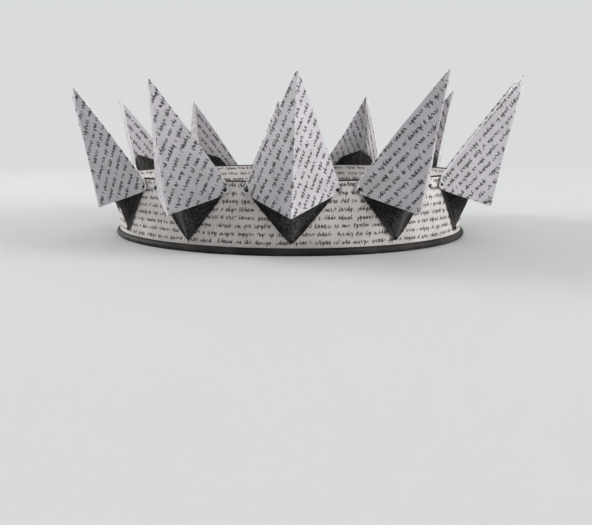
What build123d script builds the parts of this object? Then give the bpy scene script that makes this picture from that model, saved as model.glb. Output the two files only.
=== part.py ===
from build123d import *
from math import cos, radians, sin
import os

# Paper crown: a dark band with printed paper inside and out, a rolled edging at its foot, and twelve
# folded paper points. Each point is one white sheet, creased down its middle and pinned to the band
# at its two side corners, over one dark sheet that closes the space under it.
# Millimetres. Z is the crown's axis and up, z = 0 is the underside of the edging, and the first
# point faces -Y. The others follow it towards +X.

# Band: its radius is the outside of the paper cover, the surface that the points are pinned on.
band_radius = 92.5
cover_height = 28.9
cover_thickness = 0.3
core_thickness = 1.6
core_rise = 0.6
core_foot = 1.5

# Edging: a round roll along the foot of the band, flattened where it stands.
edging_roll_radius = 1.8
edging_inset = 0.1
edging_flat_depth = 0.25
edging_sides = 12

# Points: "out" is read from the cover's outside, and heights from the upper pins.
point_count = 12
sheet_thickness = 0.6
tip_out = 27.7
tip_above_pins = 48.5
tip_half_width = 0.5
keel_out = 14.5
keel_below_pins = 10.9
crease_radius = 0.4
corner_reach = 2.3
corner_drop = 0.8
corner_radius = 2.4
bend_inboard = 2.0
bend_below_pins = 0.7

# Gussets: the dark sheets under the points.
gusset_thickness = 0.5
gusset_foot_out = 0.9
gusset_peak_out = 14.8
gusset_peak_above_pins = 13.0
gusset_crease_radius = 1.4
gusset_foot_radius = 1.3
gusset_bend_inboard = 2.2
gusset_tab_radius = 1.15
gusset_tab_sides = 6
gusset_tab_reach = 0.3
gusset_tab_drop = 0.3
gusset_shoulder_inboard = 9.2
gusset_shoulder_above_pins = 8.9
gusset_armpit_inboard = 3.0
gusset_armpit_below_pins = 1.1

# Pins: two through each point's corners and one through each gusset's foot. They are small and many,
# so they and their holes have few sides.
upper_pin_angle = 11.95
upper_pin_below_top = 3.6
lower_pin_up = 3.25
pin_radius = 0.35
pin_head_radius = 0.75
pin_head_height = 0.5
pin_head_chamfer = 0.22
pin_sides = 6
pin_bite = 0.9

# Clearances
glue_gap = 0.02
seat_gap = 0.04
pin_gap = 0.03

# Places that follow from the sizes; "up" is read from the cover's lower edge.
turn = 360 / point_count
upper_pin_up = cover_height - upper_pin_below_top
upper_pin_across = band_radius * sin(radians(upper_pin_angle))
tip_up = upper_pin_up + tip_above_pins
keel_up = upper_pin_up - keel_below_pins
gusset_peak_up = upper_pin_up + gusset_peak_above_pins
gusset_shoulder_up = upper_pin_up + gusset_shoulder_above_pins
gusset_shoulder_across = upper_pin_across - gusset_shoulder_inboard
gusset_armpit_up = upper_pin_up - gusset_armpit_below_pins
gusset_armpit_across = upper_pin_across - gusset_armpit_inboard
edging_ring_radius = band_radius - edging_inset
edging_height = 2 * edging_roll_radius - edging_flat_depth
cover_base = edging_height + glue_gap
cover_inside = band_radius - cover_thickness
core_outside = cover_inside - glue_gap
core_inside = core_outside - core_thickness
core_base = cover_base - core_foot
core_height = core_foot + cover_height + core_rise
lining_outside = core_inside - glue_gap
lining_inside = lining_outside - cover_thickness
flat_turn = upper_pin_angle / 2
pin_end = core_outside - pin_bite

# Radii of the layers that lie on each other at the upper pins, from the cover outwards
gusset_seat = band_radius + seat_gap
gusset_skin = gusset_seat + gusset_thickness
point_seat = gusset_skin + seat_gap
point_skin = point_seat + sheet_thickness
upper_head_seat = point_skin + seat_gap


def on_front(across, out, up):
    """A place at the first point: across to +X, out from the cover, up from the cover's edge."""
    return Vector(across, -(band_radius + out), cover_base + up)


def radial_plane(angle, distance, up):
    """The plane square to the band's radius at an angle from -Y, with its normal outward."""
    outward = Vector(0, -1, 0).rotate(Axis.Z, angle)
    along = Vector(1, 0, 0).rotate(Axis.Z, angle)
    place = outward * distance + Vector(0, 0, cover_base + up)
    return Plane(origin=place, x_dir=along, z_dir=outward)


def half_face(low, high, side):
    """The plane of a folded sheet's +X half: its ridge is the plane's x axis, its normal outward."""
    rise = high - low
    return Plane(origin=low, x_dir=rise, z_dir=(side - low).cross(rise))


def drum_section(radius):
    """The band under one point, seen from above: flats about that circle, one square under each pin."""
    to_corner = Vector(0, -radius / cos(radians(flat_turn / 2)), 0)
    corners = [to_corner.rotate(Axis.Z, (step + 0.5) * flat_turn) for step in range(-4, 4)]
    return [(0, 0)] + [(place.X, place.Y) for place in corners]


def drawn(face, across, up):
    """Where a face is met, in its own x and y, looking at the first point square on."""
    place = Vector(across, face.origin.Y, cover_base + up)
    miss = (place - face.origin).dot(face.z_dir) / face.z_dir.Y
    local = face.to_local_coords(place - Vector(0, miss, 0))
    return local.X, local.Y


# White sheet's +X half: a plane from its ridge down to where the sheet turns flat onto the band.
keel = on_front(0, keel_out, keel_up)
tip = on_front(0, tip_out, tip_up)
point_corner = radial_plane(upper_pin_angle, point_skin, upper_pin_up)
point_bend = point_corner.from_local_coords((-bend_inboard, -bend_below_pins, 0))
point_face = half_face(keel, tip, point_bend)
corner = point_corner.from_local_coords((corner_reach, -corner_drop, 0))
corner = point_face.to_local_coords(corner)

# The same for the dark sheet. Its own ridge is shallower, so it leaves a hollow under the white one.
foot = on_front(0, gusset_foot_out, lower_pin_up)
peak = on_front(0, gusset_peak_out, gusset_peak_up)
gusset_corner = radial_plane(upper_pin_angle, gusset_skin, upper_pin_up)
gusset_bend = gusset_corner.from_local_coords((-gusset_bend_inboard, -bend_below_pins, 0))
gusset_face = half_face(foot, peak, gusset_bend)
gusset_pin = gusset_face.to_local_coords(gusset_corner.origin)
gusset_tab = gusset_corner.from_local_coords((gusset_tab_reach, -gusset_tab_drop, 0))
gusset_tab = gusset_face.to_local_coords(gusset_tab)

# Uncut blocks reach well past the outlines.
block_size = 2 * tip_up
block_depth = 2 * tip_out
past_ridge = -bend_inboard

# White sheet: all that lies inside its outer skin, less all that lies inside its inner skin.
with BuildPart() as point_outline:
    with BuildSketch(point_face):
        with BuildLine():
            Polyline(
                drawn(point_face, past_ridge, tip_up),
                drawn(point_face, tip_half_width, tip_up),
                (corner.X, corner.Y),
                drawn(point_face, 0, keel_up),
                drawn(point_face, past_ridge, keel_up),
                close=True,
            )
        make_face()
        fillet(vertices().sort_by_distance((corner.X, corner.Y, 0))[0], corner_radius)
    extrude(amount=block_depth, both=True)
    split(bisect_by=Plane.YZ, keep=Keep.TOP)
    mirror(about=Plane.YZ)

with BuildPart() as point_hollow:
    with BuildSketch(point_face.offset(-sheet_thickness)):
        Rectangle(block_size, block_size)
    extrude(amount=-block_depth)
    split(bisect_by=Plane.YZ, keep=Keep.TOP)
    mirror(about=Plane.YZ)
    with BuildSketch():
        Polygon(*drum_section(point_seat), align=None)
    extrude(amount=block_size, both=True)
    with BuildSketch(point_corner):
        RegularPolygon(pin_radius + pin_gap, pin_sides)
    extrude(amount=2 * sheet_thickness, both=True)
    mirror(about=Plane.YZ)

with BuildPart() as point_sheet:
    with BuildSketch(point_face):
        Rectangle(block_size, block_size)
    extrude(amount=-block_depth)
    split(bisect_by=Plane.YZ, keep=Keep.TOP)
    mirror(about=Plane.YZ)
    fillet(edges().sort_by_distance((keel + tip) / 2)[0], crease_radius)
    with BuildSketch():
        Polygon(*drum_section(point_skin), align=None)
    extrude(amount=block_size, both=True)
    add(point_outline.part, mode=Mode.INTERSECT)
    add(point_hollow.part, mode=Mode.SUBTRACT)

# Dark sheet: the same build. Its lower edges lie on the band from the foot to the upper pins.
with BuildPart() as gusset_outline:
    with BuildSketch(gusset_face):
        with Locations(drawn(gusset_face, 0, lower_pin_up)):
            Circle(gusset_foot_radius)
        with Locations((gusset_pin.X, gusset_pin.Y)):
            Circle(pin_radius)
        make_hull()
        with Locations((gusset_tab.X, gusset_tab.Y)):
            RegularPolygon(gusset_tab_radius, gusset_tab_sides)
        with BuildLine():
            Polyline(
                drawn(gusset_face, past_ridge, lower_pin_up),
                drawn(gusset_face, past_ridge, gusset_peak_up),
                drawn(gusset_face, 0, gusset_peak_up),
                drawn(gusset_face, gusset_shoulder_across, gusset_shoulder_up),
                drawn(gusset_face, gusset_armpit_across, gusset_armpit_up),
                (gusset_pin.X, gusset_pin.Y),
                drawn(gusset_face, 0, lower_pin_up),
                close=True,
            )
        make_face()
    extrude(amount=block_depth, both=True)
    split(bisect_by=Plane.YZ, keep=Keep.TOP)
    mirror(about=Plane.YZ)

with BuildPart() as gusset_hollow:
    with BuildSketch(gusset_face.offset(-gusset_thickness)):
        Rectangle(block_size, block_size)
    extrude(amount=-block_depth)
    split(bisect_by=Plane.YZ, keep=Keep.TOP)
    mirror(about=Plane.YZ)
    fillet(edges().sort_by_distance((foot + peak) / 2)[0], gusset_crease_radius - gusset_thickness)
    with BuildSketch():
        Polygon(*drum_section(gusset_seat), align=None)
    extrude(amount=block_size, both=True)
    with BuildSketch(gusset_corner):
        RegularPolygon(pin_radius + pin_gap, pin_sides)
    extrude(amount=2 * gusset_thickness, both=True)
    mirror(about=Plane.YZ)
    with BuildSketch(radial_plane(0, gusset_seat, lower_pin_up)):
        RegularPolygon(pin_radius + pin_gap, pin_sides)
    extrude(amount=gusset_peak_out, both=True)

with BuildPart() as gusset_sheet:
    with BuildSketch(gusset_face):
        Rectangle(block_size, block_size)
    extrude(amount=-block_depth)
    split(bisect_by=Plane.YZ, keep=Keep.TOP)
    mirror(about=Plane.YZ)
    fillet(edges().sort_by_distance((foot + peak) / 2)[0], gusset_crease_radius)
    with BuildSketch():
        Polygon(*drum_section(gusset_skin), align=None)
    extrude(amount=block_size, both=True)
    add(gusset_outline.part, mode=Mode.INTERSECT)
    add(gusset_hollow.part, mode=Mode.SUBTRACT)

# The lower pin's head bears on the highest place of the gusset's ridge under it.
with BuildPart() as foot_patch:
    add(gusset_sheet.part)
    with BuildSketch(radial_plane(0, gusset_seat, lower_pin_up)):
        Circle(pin_head_radius)
    extrude(amount=gusset_peak_out, mode=Mode.INTERSECT)
lower_head_seat = seat_gap - foot_patch.part.bounding_box().min.Y

# Pins: a shank that ends blind in the core, under a head bevelled at its rim.
with BuildPart() as upper_pin_pair:
    with BuildSketch(radial_plane(upper_pin_angle, upper_head_seat, upper_pin_up)):
        RegularPolygon(pin_head_radius, pin_sides)
    extrude(amount=pin_head_height)
    chamfer(faces().sort_by(Axis.Y)[0].edges(), pin_head_chamfer)
    with BuildSketch(radial_plane(upper_pin_angle, upper_head_seat, upper_pin_up)):
        RegularPolygon(pin_radius, pin_sides)
    extrude(amount=pin_end - upper_head_seat)
    mirror(about=Plane.YZ)

with BuildPart() as lower_pin:
    with BuildSketch(radial_plane(0, lower_head_seat, lower_pin_up)):
        RegularPolygon(pin_head_radius, pin_sides)
    extrude(amount=pin_head_height)
    chamfer(faces().sort_by(Axis.Y)[0].edges(), pin_head_chamfer)
    with BuildSketch(radial_plane(0, lower_head_seat, lower_pin_up)):
        RegularPolygon(pin_radius, pin_sides)
    extrude(amount=pin_end - lower_head_seat)

with BuildPart() as upper_pins:
    with PolarLocations(0, point_count):
        add(upper_pin_pair.part)
upper_pins.part.label = "upper_pins"

with BuildPart() as lower_pins:
    with PolarLocations(0, point_count):
        add(lower_pin.part)
lower_pins.part.label = "lower_pins"

# Holes for the pins in the band, as deep as the pins go and a little more.
with BuildPart() as band_pin_holes:
    with BuildSketch(
        radial_plane(upper_pin_angle, pin_end - pin_gap, upper_pin_up),
        radial_plane(-upper_pin_angle, pin_end - pin_gap, upper_pin_up),
        radial_plane(0, pin_end - pin_gap, lower_pin_up),
    ):
        RegularPolygon(pin_radius + pin_gap, pin_sides)
    extrude(amount=band_radius - pin_end + 2 * pin_gap)

# Band: the dark core, and the paper cover and lining that it stands a little above.
with BuildPart() as band_core:
    with BuildSketch(Plane.XY.offset(core_base)):
        Circle(core_outside)
        Circle(core_inside, mode=Mode.SUBTRACT)
    extrude(amount=core_height)
    with PolarLocations(0, point_count):
        add(band_pin_holes.part, mode=Mode.SUBTRACT)
band_core.part.label = "band_core"

with BuildPart() as outer_cover:
    with BuildSketch(Plane.XY.offset(cover_base)):
        Circle(band_radius)
        Circle(cover_inside, mode=Mode.SUBTRACT)
    extrude(amount=cover_height)
    with PolarLocations(0, point_count):
        add(band_pin_holes.part, mode=Mode.SUBTRACT)
outer_cover.part.label = "outer_cover"

with BuildPart() as inner_cover:
    with BuildSketch(Plane.XY.offset(cover_base)):
        Circle(lining_outside)
        Circle(lining_inside, mode=Mode.SUBTRACT)
    extrude(amount=cover_height)
inner_cover.part.label = "inner_cover"

# Edging: a roll with its underside flattened, open above to take the foot of the core.
with BuildPart() as lower_edging:
    with BuildSketch(Plane.XZ):
        with Locations((edging_ring_radius, edging_height - edging_roll_radius)):
            RegularPolygon(edging_roll_radius, edging_sides)
        with Locations((edging_ring_radius, 0)):
            Rectangle(
                4 * edging_roll_radius,
                edging_roll_radius,
                align=(Align.CENTER, Align.MAX),
                mode=Mode.SUBTRACT,
            )
        with Locations(((core_inside + core_outside) / 2, core_base - glue_gap)):
            Rectangle(
                core_thickness + 2 * glue_gap,
                edging_height,
                align=(Align.CENTER, Align.MIN),
                mode=Mode.SUBTRACT,
            )
    revolve(axis=Axis.Z)
lower_edging.part.label = "lower_edging"

os.makedirs("parts", exist_ok=True)
export_step(band_core.part, "parts/band_core.step")
export_step(outer_cover.part, "parts/outer_cover.step")
export_step(inner_cover.part, "parts/inner_cover.step")
export_step(lower_edging.part, "parts/lower_edging.step")
export_step(upper_pins.part, "parts/upper_pins.step")
export_step(lower_pins.part, "parts/lower_pins.step")

for number in range(1, point_count + 1):
    with BuildPart() as point:
        add(point_sheet.part, rotation=(0, 0, turn * (number - 1)))
    point.part.label = f"point_{number:02d}"
    export_step(point.part, f"parts/point_{number:02d}.step")

    with BuildPart() as gusset:
        add(gusset_sheet.part, rotation=(0, 0, turn * (number - 1)))
    gusset.part.label = f"gusset_{number:02d}"
    export_step(gusset.part, f"parts/gusset_{number:02d}.step")
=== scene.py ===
# %% [markdown]
# # Dressing a paper crown
# The crown is a dark band with handwritten paper glued inside and out, a rolled edging at its foot,
# and twelve folded points. Each point is one sheet of the same paper, creased down its middle and
# pinned at two corners over a smaller dark sheet, a gusset. Its solids come from the CAD model,
# already in place.
#
# The gussets and the dark core of the band keep their solids and only get materials here. The rest
# is remodelled in the same place: the twelve sheets, because hand-folded paper is never twelve times
# the same, and the two wraps of paper, the edging and the pins, because the solids only suggest
# their round forms.

# %% Load the solids and measure them
from math import cos, pi, radians, sin

import bpy
from mathutils import Matrix, Vector


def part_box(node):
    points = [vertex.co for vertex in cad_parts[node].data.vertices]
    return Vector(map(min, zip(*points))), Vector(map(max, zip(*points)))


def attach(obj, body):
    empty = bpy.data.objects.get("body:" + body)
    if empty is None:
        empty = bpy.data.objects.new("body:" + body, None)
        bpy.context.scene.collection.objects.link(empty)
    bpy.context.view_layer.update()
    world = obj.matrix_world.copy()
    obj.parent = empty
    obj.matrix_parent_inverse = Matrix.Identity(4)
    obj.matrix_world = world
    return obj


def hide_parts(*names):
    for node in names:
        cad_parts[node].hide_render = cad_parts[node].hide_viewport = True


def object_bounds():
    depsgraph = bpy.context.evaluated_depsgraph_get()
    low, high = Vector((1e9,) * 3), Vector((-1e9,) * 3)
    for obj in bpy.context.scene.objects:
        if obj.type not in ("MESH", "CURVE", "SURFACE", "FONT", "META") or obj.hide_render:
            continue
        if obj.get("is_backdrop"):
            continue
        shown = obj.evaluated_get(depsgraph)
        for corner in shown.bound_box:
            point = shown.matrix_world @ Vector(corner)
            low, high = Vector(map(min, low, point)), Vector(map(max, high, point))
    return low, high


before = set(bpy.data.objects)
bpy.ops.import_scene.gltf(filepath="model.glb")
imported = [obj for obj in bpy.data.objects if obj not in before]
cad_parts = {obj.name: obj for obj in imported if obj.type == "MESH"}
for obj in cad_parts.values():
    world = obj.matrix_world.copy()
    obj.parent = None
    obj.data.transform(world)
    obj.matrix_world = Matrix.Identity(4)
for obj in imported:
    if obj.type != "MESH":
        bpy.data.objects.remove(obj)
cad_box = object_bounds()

MM = 0.001
box_in_mm = [[round(part / MM, 1) for part in corner] for corner in cad_box]
print("pieces from the model:", len(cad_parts), "box in mm:", box_in_mm)

# %% [markdown]
# ## The camera
# The photograph looks slightly down on the crown from about 40 cm, with the crown in the upper half
# of the picture and a little left of its middle. A camera could be tried out by eye, but a crown is
# a circle of twelve equal points, so their tips and pins fix one answer well. The lens is shifted
# sideways, because the picture is cropped from a wider one.

# %% Set up the camera
PICTURE_WIDTH = 592
CENTRE_COLUMN = 180
LENS = 43.0
CAMERA_PLACE = (-0.0135, -0.4015, 0.0516)
CAMERA_TURN = (radians(80.02), radians(0.85), radians(6.41))

camera_data = bpy.data.cameras.new("camera")
camera_data.sensor_width = 36
camera_data.lens = LENS
camera_data.shift_x = (PICTURE_WIDTH / 2 - CENTRE_COLUMN) / PICTURE_WIDTH
camera_data.clip_start = 0.01
camera = bpy.data.objects.new("camera", camera_data)
camera.location = CAMERA_PLACE
camera.rotation_euler = CAMERA_TURN
bpy.context.scene.collection.objects.link(camera)
bpy.context.scene.camera = camera
print("lens", LENS, "mm, shift", round(camera_data.shift_x, 3))

# %% [markdown]
# ## The floor
# A product is often photographed on a sheet of paper that sweeps up behind it, so that no horizon
# shows. Here the sheet is a wide shallow dish, which does the same from every side. A disc is
# added, its middle is kept flat, and its rim is extruded outward and up in a few steps.


# %% A helper that starts every new mesh
def start_mesh(add, location=(0, 0, 0), **settings):
    """Adds a primitive with nothing else selected, puts its place into its mesh, and edits it."""
    bpy.ops.object.select_all(action="DESELECT")
    add(location=location, **settings)
    bpy.ops.object.transform_apply(location=True, rotation=True, scale=True)
    bpy.ops.object.mode_set(mode="EDIT")
    bpy.ops.mesh.select_mode(type="VERT")
    return bpy.context.active_object


def end_mesh(piece, name):
    """Leaves edit mode and names the piece."""
    bpy.ops.object.mode_set(mode="OBJECT")
    piece.name = piece.data.name = name


print("helpers ready: start_mesh and end_mesh")


# %% Make the dish
FLOOR_RADIUS = 1.6
DISH_STEPS = 10
DISH_CURVE = 1.1

dish = start_mesh(bpy.ops.mesh.primitive_circle_add, vertices=96, radius=FLOOR_RADIUS, fill_type="NGON")
for step in range(DISH_STEPS):
    angle = pi / 2 * (step + 0.5) / DISH_STEPS
    rise = DISH_CURVE * pi / 2 / DISH_STEPS
    radius_now = FLOOR_RADIUS + DISH_CURVE * sin(pi / 2 * step / DISH_STEPS)
    growth = (radius_now + rise * cos(angle)) / radius_now
    bpy.ops.mesh.extrude_region_move(TRANSFORM_OT_translate={"value": (0, 0, rise * sin(angle))})
    bpy.ops.transform.resize(value=(growth, growth, 1), center_override=(0, 0, 0))
end_mesh(dish, "floor_dish")
bpy.ops.object.shade_smooth()
dish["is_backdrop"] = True
print("dish:", len(dish.data.polygons), "faces")

# %% [markdown]
# ## Light
# Two big soft lamps stand about two metres off and almost a metre up: one to the right and a little
# in front, the other to the left and a little behind. A weak third one, high up behind the crown,
# touches the upper edges. One lamp beside the camera would be simpler, but it flattens folds. With
# the lamps at the sides, the faces of a point that look sideways are paler than the ones that look
# straight ahead, and every fold can be read. The world gives the rest from all round.


# %% Add the lamps
CROWN_MIDDLE = Vector((0, 0, 0.04))


def soft_lamp(name, place, size, watts):
    """A square area lamp that looks at the middle of the crown."""
    lamp = bpy.data.lights.new(name, "AREA")
    lamp.size = size
    lamp.energy = watts
    holder = bpy.data.objects.new(name, lamp)
    holder.location = place
    aim = CROWN_MIDDLE - Vector(place)
    holder.rotation_euler = aim.to_track_quat("-Z", "Y").to_euler()
    bpy.context.scene.collection.objects.link(holder)


soft_lamp("key_lamp", (2.2, -0.57, 0.9), 1.1, 59.0)
soft_lamp("side_lamp", (-2.1, 0.76, 0.9), 1.1, 60.0)
soft_lamp("rim_lamp", (0.15, 0.9, 1.2), 0.9, 5.0)

world = bpy.data.worlds.new("studio")
bpy.context.scene.world = world
world.use_nodes = True
background = world.node_tree.nodes["Background"]
background.inputs["Color"].default_value = (0.97, 0.98, 1.0, 1)
background.inputs["Strength"].default_value = 0.58
bpy.context.scene.view_settings.view_transform = "Standard"

# %% [markdown]
# ## Building materials by hand
# Every finish below is a small sum: a place on the surface goes in, and a colour, a roughness and a
# height come out. A few helpers keep such sums short. `calc` is one Math node, and whatever is
# handed to it as a number is set on the node, while whatever is a socket is linked to it.


# %% Helpers that add and link nodes
def wire(tree, socket, value):
    """Links a socket to what feeds it, or sets it."""
    if isinstance(value, bpy.types.NodeSocket):
        tree.links.new(value, socket)
    else:
        socket.default_value = value


def add_node(tree, kind, inputs=(), **settings):
    """A node with its settings and its inputs, by name or number."""
    node = tree.nodes.new(kind)
    for name, value in settings.items():
        setattr(node, name, value)
    for name, value in dict(inputs).items():
        wire(tree, node.inputs[name], value)
    return node


def calc(tree, operation, *values):
    """One Math node."""
    return add_node(tree, "ShaderNodeMath", enumerate(values), operation=operation).outputs[0]


def vector_calc(tree, operation, *values, out=0):
    """One Vector Math node."""
    return add_node(tree, "ShaderNodeVectorMath", enumerate(values), operation=operation).outputs[out]


def split_xyz(tree, vector):
    """The three parts of a vector."""
    return add_node(tree, "ShaderNodeSeparateXYZ", {0: vector}).outputs


def join_xyz(tree, x, y, z):
    """A vector from three parts."""
    return add_node(tree, "ShaderNodeCombineXYZ", {0: x, 1: y, 2: z}).outputs[0]


print("helpers ready: add_node, calc, vector_calc, split_xyz and join_xyz")


# %% Helpers for patterns and colours
def ramp(tree, value, low, high, at_low, at_high):
    """Runs smoothly from at_low to at_high as value goes from low to high."""
    inputs = {"Value": value, "From Min": low, "From Max": high, "To Min": at_low, "To Max": at_high}
    return add_node(tree, "ShaderNodeMapRange", inputs, interpolation_type="SMOOTHSTEP").outputs[0]


def noise(tree, vector, scale, detail=2.0, rough=0.5):
    """Smooth noise from 0 to 1, mostly near 0.5."""
    inputs = {"Vector": vector, "Scale": scale, "Detail": detail, "Roughness": rough}
    return add_node(tree, "ShaderNodeTexNoise", inputs).outputs[0]


def dice(tree, x, y, z):
    """Three random numbers that stay the same all over a cell."""
    cell = {"Vector": join_xyz(tree, x, y, z)}
    node = add_node(tree, "ShaderNodeTexWhiteNoise", cell, noise_dimensions="3D")
    return split_xyz(tree, node.outputs["Color"])


def blend_colours(tree, share, first, second):
    """From the first colour to the second as share goes from 0 to 1."""
    node = add_node(tree, "ShaderNodeMix", data_type="RGBA")
    wire(tree, node.inputs[0], share)
    wire(tree, node.inputs[6], first)
    wire(tree, node.inputs[7], second)
    return node.outputs[2]


print("helpers ready: ramp, noise, dice and blend_colours")

# %% [markdown]
# ## Rows of pen strokes
# The paper is covered with small slanted handwriting. Real words would be lettering, which this
# crown doesn't carry, so the rows are made of strokes that only have the rhythm of a quick hand: a
# wave that rises and falls about once a letter, taller and lower strokes here and there, and gaps
# between groups. Written text could be an image, but a sum has no pixels, so it stays sharp in a
# close view. It is built up as a node group that takes a place along and up the page and gives the
# ink there. All its lengths are millimetres, and a gap is a spacing and the share of it left empty.

# %% Where a place lies in its row
ROW_PITCH = 3.6
LETTER_HEIGHT = 1.25
SLANT = 0.25
ROW_DRIFT = 0.8
DRIFTS_PER_MM = 0.05
ROW_START = 40.0


def place_in_row(tree, along, up, page, pitch):
    """The row and its random numbers, and a place's distance along the row and over its foot."""
    row = calc(tree, "FLOOR", calc(tree, "DIVIDE", up, pitch))
    row_dice = dice(tree, row, page, 0.5)
    height = calc(tree, "SUBTRACT", up, calc(tree, "MULTIPLY", row, pitch))
    drift_place = join_xyz(tree, calc(tree, "MULTIPLY", along, DRIFTS_PER_MM), row, page)
    drift = noise(tree, drift_place, 1.0, 0.0)
    height = calc(tree, "SUBTRACT", height, calc(tree, "MULTIPLY_ADD", drift, ROW_DRIFT, ROW_DRIFT))
    x = calc(tree, "MULTIPLY_ADD", height, -SLANT, along)
    x = calc(tree, "MULTIPLY_ADD", row_dice[0], ROW_START, x)
    return row, row_dice, x, height


print("a row every", ROW_PITCH, "mm, small letters", LETTER_HEIGHT, "mm high")

# %% [markdown]
# The small letters are one wave. An even wave would look like a saw, so noise lets its rhythm and
# its height wander, and a smaller, quicker wave roughens it. The distance to it is measured across
# the line and not straight down, or steep strokes would come out thick.

# %% The wave of small letters
LETTER = 1.45
RHYTHM_PER_MM = 0.55
ROWS_APART = 7.3
LETTER_WANDER = 11.0
SMALL_SWING = 0.28
LARGE_SWING = 0.66
QUICK_SWING = 0.16


def letter_wave(tree, x, height, row, page):
    """The distance to the wave, the place where its noise is read, and how far it has turned."""
    x_rhythm = calc(tree, "MULTIPLY", x, RHYTHM_PER_MM)
    where = join_xyz(tree, x_rhythm, calc(tree, "MULTIPLY", row, ROWS_APART), page)
    wander = noise(tree, where, 1.0, 1.0)
    even_turn = calc(tree, "MULTIPLY", x, 2 * pi / LETTER)
    turn = calc(tree, "MULTIPLY_ADD", wander, LETTER_WANDER, even_turn)
    swing = ramp(tree, noise(tree, where, 2.3, 0.0), 0.3, 0.7, SMALL_SWING, LARGE_SWING)
    wave = calc(tree, "MULTIPLY", calc(tree, "SINE", turn), swing)
    quick = calc(tree, "MULTIPLY", calc(tree, "SINE", calc(tree, "MULTIPLY", turn, 2.0)), QUICK_SWING)
    wave = calc(tree, "ADD", calc(tree, "ADD", wave, quick), LETTER_HEIGHT / 2)
    steepest = calc(tree, "MULTIPLY", swing, 2 * pi / LETTER)
    slope = calc(tree, "MULTIPLY", calc(tree, "COSINE", turn), steepest)
    steep = calc(tree, "SQRT", calc(tree, "MULTIPLY_ADD", slope, slope, 1.0))
    to_wave = calc(tree, "DIVIDE", calc(tree, "ABSOLUTE", calc(tree, "SUBTRACT", height, wave)), steep)
    return to_wave, where, turn


print("a letter every", LETTER, "mm")

# %% [markdown]
# Now and then a letter has a tall stroke, or one that hangs below the row, and in half of the places
# the pen goes round in a small loop. Each letter's place is a cell with random numbers of its own,
# which say what it gets. A stroke that isn't there is put too far away to be seen.

# %% Tall strokes, hanging strokes and loops
TALL_FROM = 0.74
HANGING_UP_TO = 0.15
BOW = 0.12
BOW_TURN = 1.6
NO_LOOP_SHARE = 0.5
LOOP_RADIUS = 0.4
LOOP_MIDDLE = 0.45
NO_STROKE = 9.0


def long_stroke(tree, x, height, row, page):
    """The distance to a tall or hanging stroke, the part of it sideways, and the random numbers."""
    cell = calc(tree, "FLOOR", calc(tree, "DIVIDE", x, LETTER))
    cell_dice = dice(tree, cell, row, page)
    middle = calc(tree, "MULTIPLY_ADD", cell_dice[1], 0.5, 0.25)
    in_cell = calc(tree, "SUBTRACT", calc(tree, "DIVIDE", x, LETTER), cell)
    from_middle = calc(tree, "SUBTRACT", in_cell, middle)
    bow = calc(tree, "MULTIPLY", calc(tree, "SINE", calc(tree, "MULTIPLY", height, BOW_TURN)), BOW)
    sideways = calc(tree, "MULTIPLY", calc(tree, "ABSOLUTE", calc(tree, "ADD", from_middle, bow)), LETTER)
    tall = calc(tree, "GREATER_THAN", cell_dice[0], TALL_FROM)
    hanging = calc(tree, "LESS_THAN", cell_dice[0], HANGING_UP_TO)
    top = calc(tree, "MULTIPLY_ADD", tall, LETTER_HEIGHT, LETTER_HEIGHT * 0.5)
    bottom = calc(tree, "MULTIPLY_ADD", hanging, -LETTER_HEIGHT * 0.95, LETTER_HEIGHT * 0.3)
    above = calc(tree, "MAXIMUM", calc(tree, "SUBTRACT", height, top), 0.0)
    below = calc(tree, "MAXIMUM", calc(tree, "SUBTRACT", bottom, height), 0.0)
    to_stroke = calc(tree, "ADD", sideways, calc(tree, "ADD", above, below))
    none_here = calc(tree, "SUBTRACT", 1.0, calc(tree, "ADD", tall, hanging))
    return calc(tree, "MULTIPLY_ADD", none_here, NO_STROKE, to_stroke), sideways, cell_dice


def small_loop(tree, height, sideways, loop_dice):
    """The distance to a small round loop."""
    over_middle = calc(tree, "SUBTRACT", height, LETTER_HEIGHT * LOOP_MIDDLE)
    over_squared = calc(tree, "MULTIPLY", over_middle, over_middle)
    from_loop = calc(tree, "SQRT", calc(tree, "MULTIPLY_ADD", sideways, sideways, over_squared))
    to_loop = calc(tree, "ABSOLUTE", calc(tree, "SUBTRACT", from_loop, LOOP_RADIUS))
    no_loop = calc(tree, "LESS_THAN", loop_dice, NO_LOOP_SHARE)
    return calc(tree, "MULTIPLY_ADD", no_loop, NO_STROKE, to_loop)


print("share of tall strokes:", round(1 - TALL_FROM, 2), "hanging:", HANGING_UP_TO)

# %% [markdown]
# The gaps between groups come from two uneven combs laid over each other. One comb alone would set
# them in columns. The pen also presses harder on its way down. The nearest of wave, stroke and loop
# makes the mark, and where they meet they flow together a little.

# %% The gaps, and the pen rows as a node group
SHORT_GAPS = (8.7, 0.15)
LONG_GAPS = (14.3, 0.09)
PEN_HALF_WIDTH = 0.18
PRESSURE_SPREAD = 0.12
DOWN_STROKE = 1.15
UP_STROKE = 0.75
PEN_SOFT_EDGE = 0.1


def word_gap(tree, x, row_dice):
    """1 in the gaps between groups of strokes."""
    combs = []
    for (spacing, width), shift in ((SHORT_GAPS, row_dice[1]), (LONG_GAPS, row_dice[2])):
        comb = calc(tree, "FRACT", calc(tree, "MULTIPLY_ADD", x, 1 / spacing, shift))
        combs.append(calc(tree, "LESS_THAN", comb, width))
    return calc(tree, "MAXIMUM", *combs)


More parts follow.
